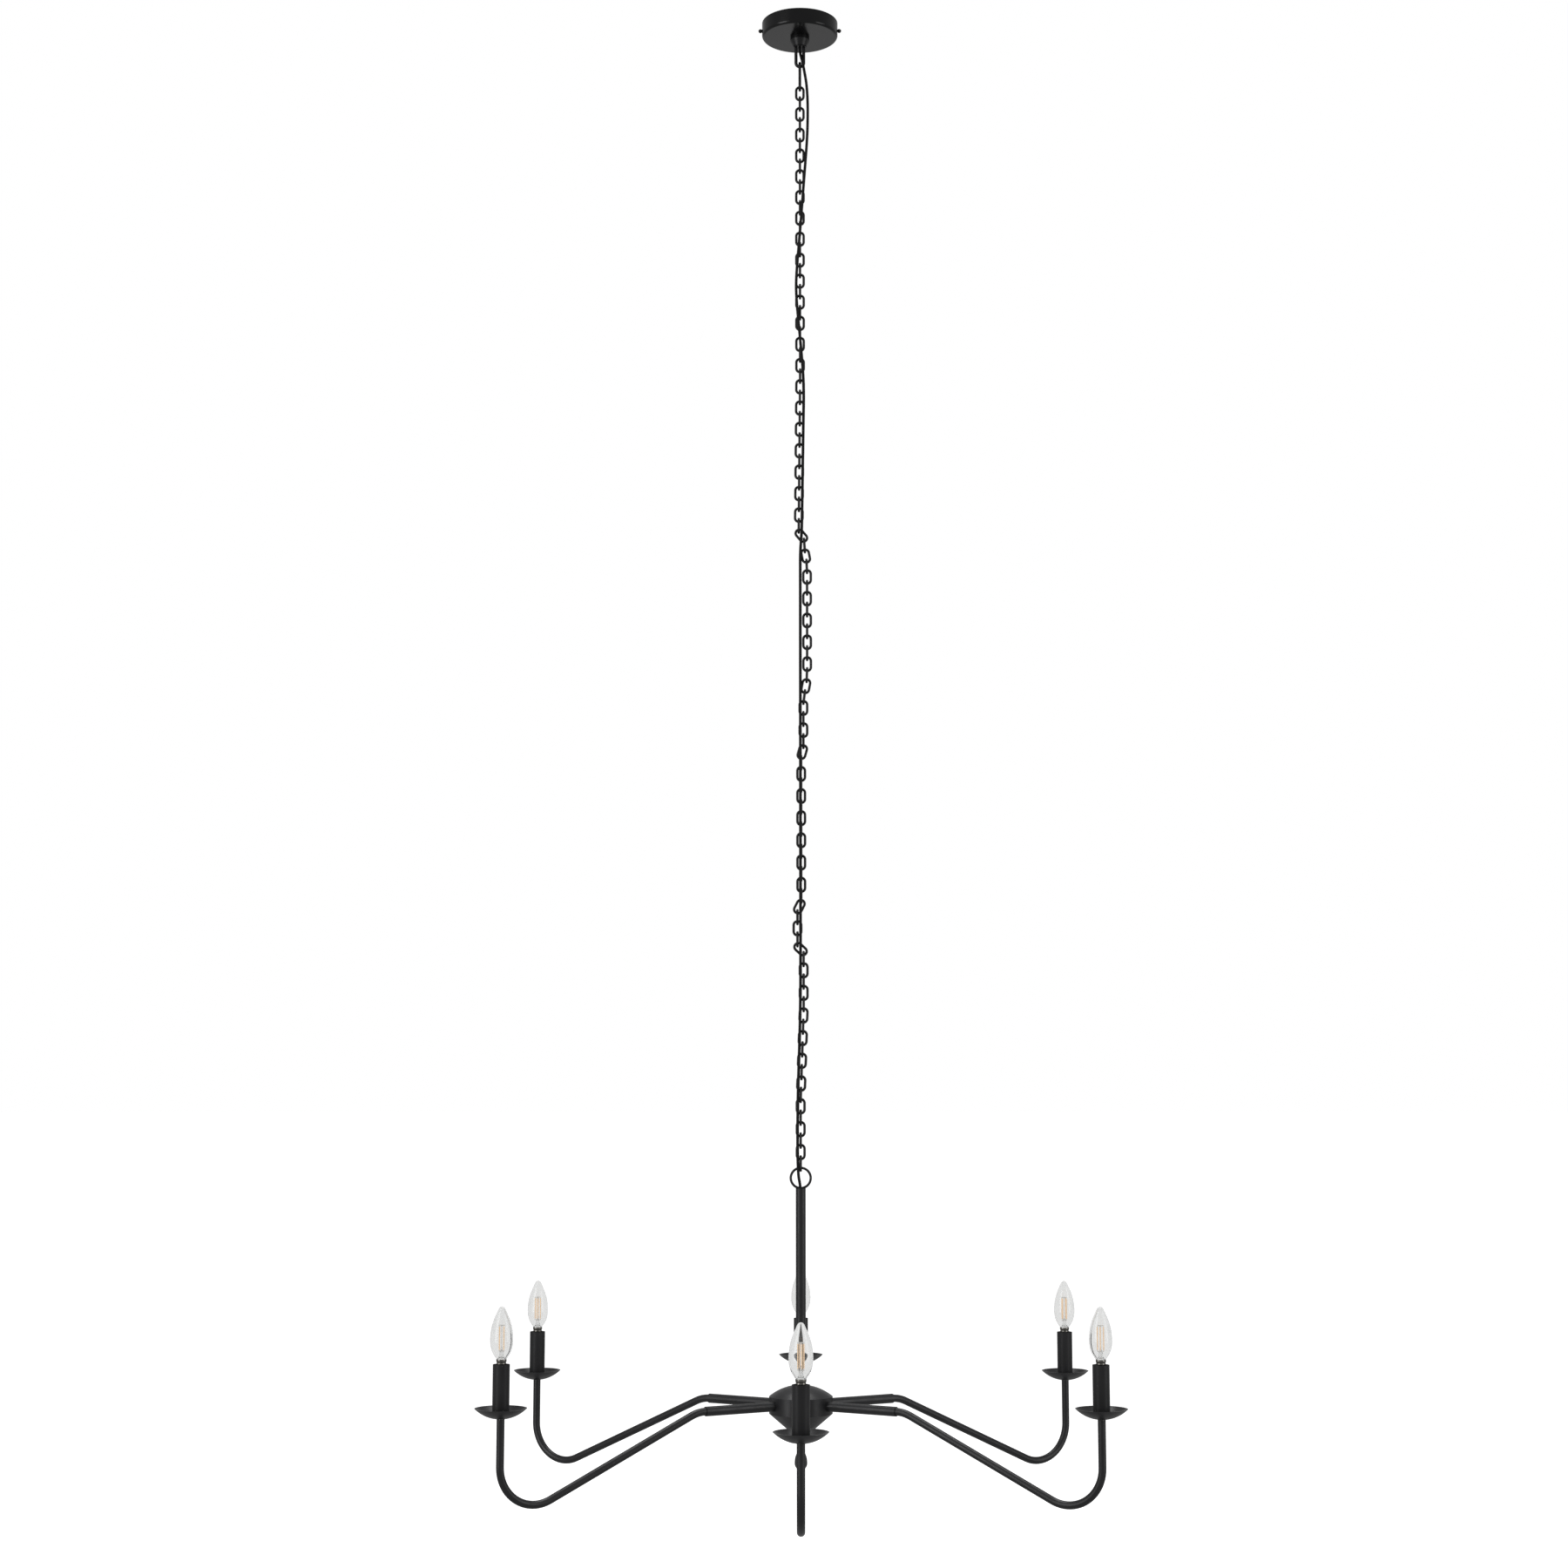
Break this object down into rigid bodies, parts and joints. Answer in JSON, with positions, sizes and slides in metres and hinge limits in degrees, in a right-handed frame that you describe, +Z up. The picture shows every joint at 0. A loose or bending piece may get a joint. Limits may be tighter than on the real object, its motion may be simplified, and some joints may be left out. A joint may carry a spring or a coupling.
{
  "type": "multi arm chandelier",
  "caption": "Black candle-style chandelier: curved tubular arms with drip dishes round a small hub, hung by stem, ring, oval-link chain with a flex beside it and a round ceiling cup.",
  "frame": {"origin": "middle of the ceiling plane, on the bracket's top face between its two screw slots", "axes": "+Z up to the ceiling, +X along the bracket's slots, the front arm along -Y"},
  "size_m": [0.9706, 1.1086, 2.4172],
  "materials": {
    "black_metal": "satin black powder coat",
    "zinc_steel": "zinc plated",
    "black_flex": "smooth black sheath",
    "dark_plastic": "moulded",
    "candle_black": "satin black tube",
    "cap_metal": "pressed screw cap",
    "clear_glass": "clear blown glass"
  },
  "bodies": {
    "ceiling_rose": {"ceiling_bracket": "zinc_steel", "ceiling_cup": "black_metal", "cup_screws": "black_metal", "terminal_block": "dark_plastic", "hanger_collar": "black_metal", "hanger_locknut": "zinc_steel", "hanger_loop": "black_metal", "flex_ceiling": "black_flex"},
    "first_link": {"first_link": "black_metal"},
    "chain_upper": {"chain_upper": "black_metal", "flex_upper": "black_flex"},
    "mid_link": {"mid_link": "black_metal"},
    "chain_lower": {"chain_lower": "black_metal", "flex_lower": "black_flex"},
    "end_link": {"end_link": "black_metal"},
    "fixture": {"hanging_ring": "black_metal", "stem_tube": "black_metal", "flex_stem": "black_flex", "hub_dome": "black_metal", "hub_band": "black_metal", "hub_cone": "black_metal", "centre_rod": "zinc_steel", "hub_nuts": "zinc_steel", "wire_connector": "dark_plastic", "finial": "black_metal", "arm_sleeves": "black_metal", "sleeve_nuts": "zinc_steel", "arm_wires": "black_flex", "holder_nipples": "zinc_steel", "lampholders": "dark_plastic", "arm_tube_1": "black_metal", "arm_tube_2": "black_metal", "arm_tube_3": "black_metal", "arm_tube_4": "black_metal", "arm_tube_5": "black_metal", "arm_tube_6": "black_metal", "drip_dish_1": "black_metal", "drip_dish_2": "black_metal", "drip_dish_3": "black_metal", "drip_dish_4": "black_metal", "drip_dish_5": "black_metal", "drip_dish_6": "black_metal"},
    "candle_1": {"candle_cover_1": "candle_black"},
    "bulb_1": {"bulb_cap_1": "cap_metal", "bulb_glass_1": "clear_glass"},
    "candle_2": {"candle_cover_2": "candle_black"},
    "bulb_2": {"bulb_cap_2": "cap_metal", "bulb_glass_2": "clear_glass"},
    "candle_3": {"candle_cover_3": "candle_black"},
    "bulb_3": {"bulb_cap_3": "cap_metal", "bulb_glass_3": "clear_glass"},
    "candle_4": {"candle_cover_4": "candle_black"},
    "bulb_4": {"bulb_cap_4": "cap_metal", "bulb_glass_4": "clear_glass"},
    "candle_5": {"candle_cover_5": "candle_black"},
    "bulb_5": {"bulb_cap_5": "cap_metal", "bulb_glass_5": "clear_glass"},
    "candle_6": {"candle_cover_6": "candle_black"},
    "bulb_6": {"bulb_cap_6": "cap_metal", "bulb_glass_6": "clear_glass"}
  },
  "joints": [
    {"name": "first_link_swing", "type": "hinge", "parent": "ceiling_rose", "child": "first_link", "pos_m": [0, 0, -0.0758], "axis": [1, 0, 0], "range_deg": [-30, 30], "deforming": ["flex_ceiling", "flex_upper"]},
    {"name": "upper_chain_swing", "type": "hinge", "parent": "first_link", "child": "chain_upper", "pos_m": [0, 0, -0.1171], "axis": [0, 1, 0], "range_deg": [-30, 30], "deforming": ["flex_ceiling", "flex_upper"]},
    {"name": "mid_link_swing", "type": "hinge", "parent": "chain_upper", "child": "mid_link", "pos_m": [0.0112, -0.005, -1.00531], "axis": [1, 0, 0], "range_deg": [-30, 30], "deforming": ["flex_upper", "flex_lower"]},
    {"name": "lower_chain_swing", "type": "hinge", "parent": "mid_link", "child": "chain_lower", "pos_m": [0.0112, -0.005, -1.02352], "axis": [0, 1, 0], "range_deg": [-30, 30], "deforming": ["flex_upper", "flex_lower"]},
    {"name": "end_link_swing", "type": "hinge", "parent": "chain_lower", "child": "end_link", "pos_m": [0, 0, -1.90777], "axis": [1, 0, 0], "range_deg": [-30, 30], "deforming": ["flex_lower", "flex_stem"]},
    {"name": "fixture_swing", "type": "hinge", "parent": "end_link", "child": "fixture", "pos_m": [0, 0, -1.92598], "axis": [0, 1, 0], "range_deg": [-30, 30], "deforming": ["flex_lower", "flex_stem"]},
    {"name": "candle_lift_1", "type": "slide", "parent": "fixture", "child": "candle_1", "axis": [0, 0, 1], "range_m": [0, 0.006]},
    {"name": "bulb_turn_1", "type": "hinge", "parent": "fixture", "child": "bulb_1", "pos_m": [0, -0.515, -2.26728], "axis": [0, 0, 1], "range_deg": [0, 1440]},
    {"name": "candle_lift_2", "type": "slide", "parent": "fixture", "child": "candle_2", "axis": [0, 0, 1], "range_m": [0, 0.006]},
    {"name": "bulb_turn_2", "type": "hinge", "parent": "fixture", "child": "bulb_2", "pos_m": [0.446, -0.2575, -2.26728], "axis": [0, 0, 1], "range_deg": [0, 1440]},
    {"name": "candle_lift_3", "type": "slide", "parent": "fixture", "child": "candle_3", "axis": [0, 0, 1], "range_m": [0, 0.006]},
    {"name": "bulb_turn_3", "type": "hinge", "parent": "fixture", "child": "bulb_3", "pos_m": [0.446, 0.2575, -2.26728], "axis": [0, 0, 1], "range_deg": [0, 1440]},
    {"name": "candle_lift_4", "type": "slide", "parent": "fixture", "child": "candle_4", "axis": [0, 0, 1], "range_m": [0, 0.006]},
    {"name": "bulb_turn_4", "type": "hinge", "parent": "fixture", "child": "bulb_4", "pos_m": [0, 0.515, -2.26728], "axis": [0, 0, 1], "range_deg": [0, 1440]},
    {"name": "candle_lift_5", "type": "slide", "parent": "fixture", "child": "candle_5", "axis": [0, 0, 1], "range_m": [0, 0.006]},
    {"name": "bulb_turn_5", "type": "hinge", "parent": "fixture", "child": "bulb_5", "pos_m": [-0.446, 0.2575, -2.26728], "axis": [0, 0, 1], "range_deg": [0, 1440]},
    {"name": "candle_lift_6", "type": "slide", "parent": "fixture", "child": "candle_6", "axis": [0, 0, 1], "range_m": [0, 0.006]},
    {"name": "bulb_turn_6", "type": "hinge", "parent": "fixture", "child": "bulb_6", "pos_m": [-0.446, -0.2575, -2.26728], "axis": [0, 0, 1], "range_deg": [0, 1440]}
  ]
}
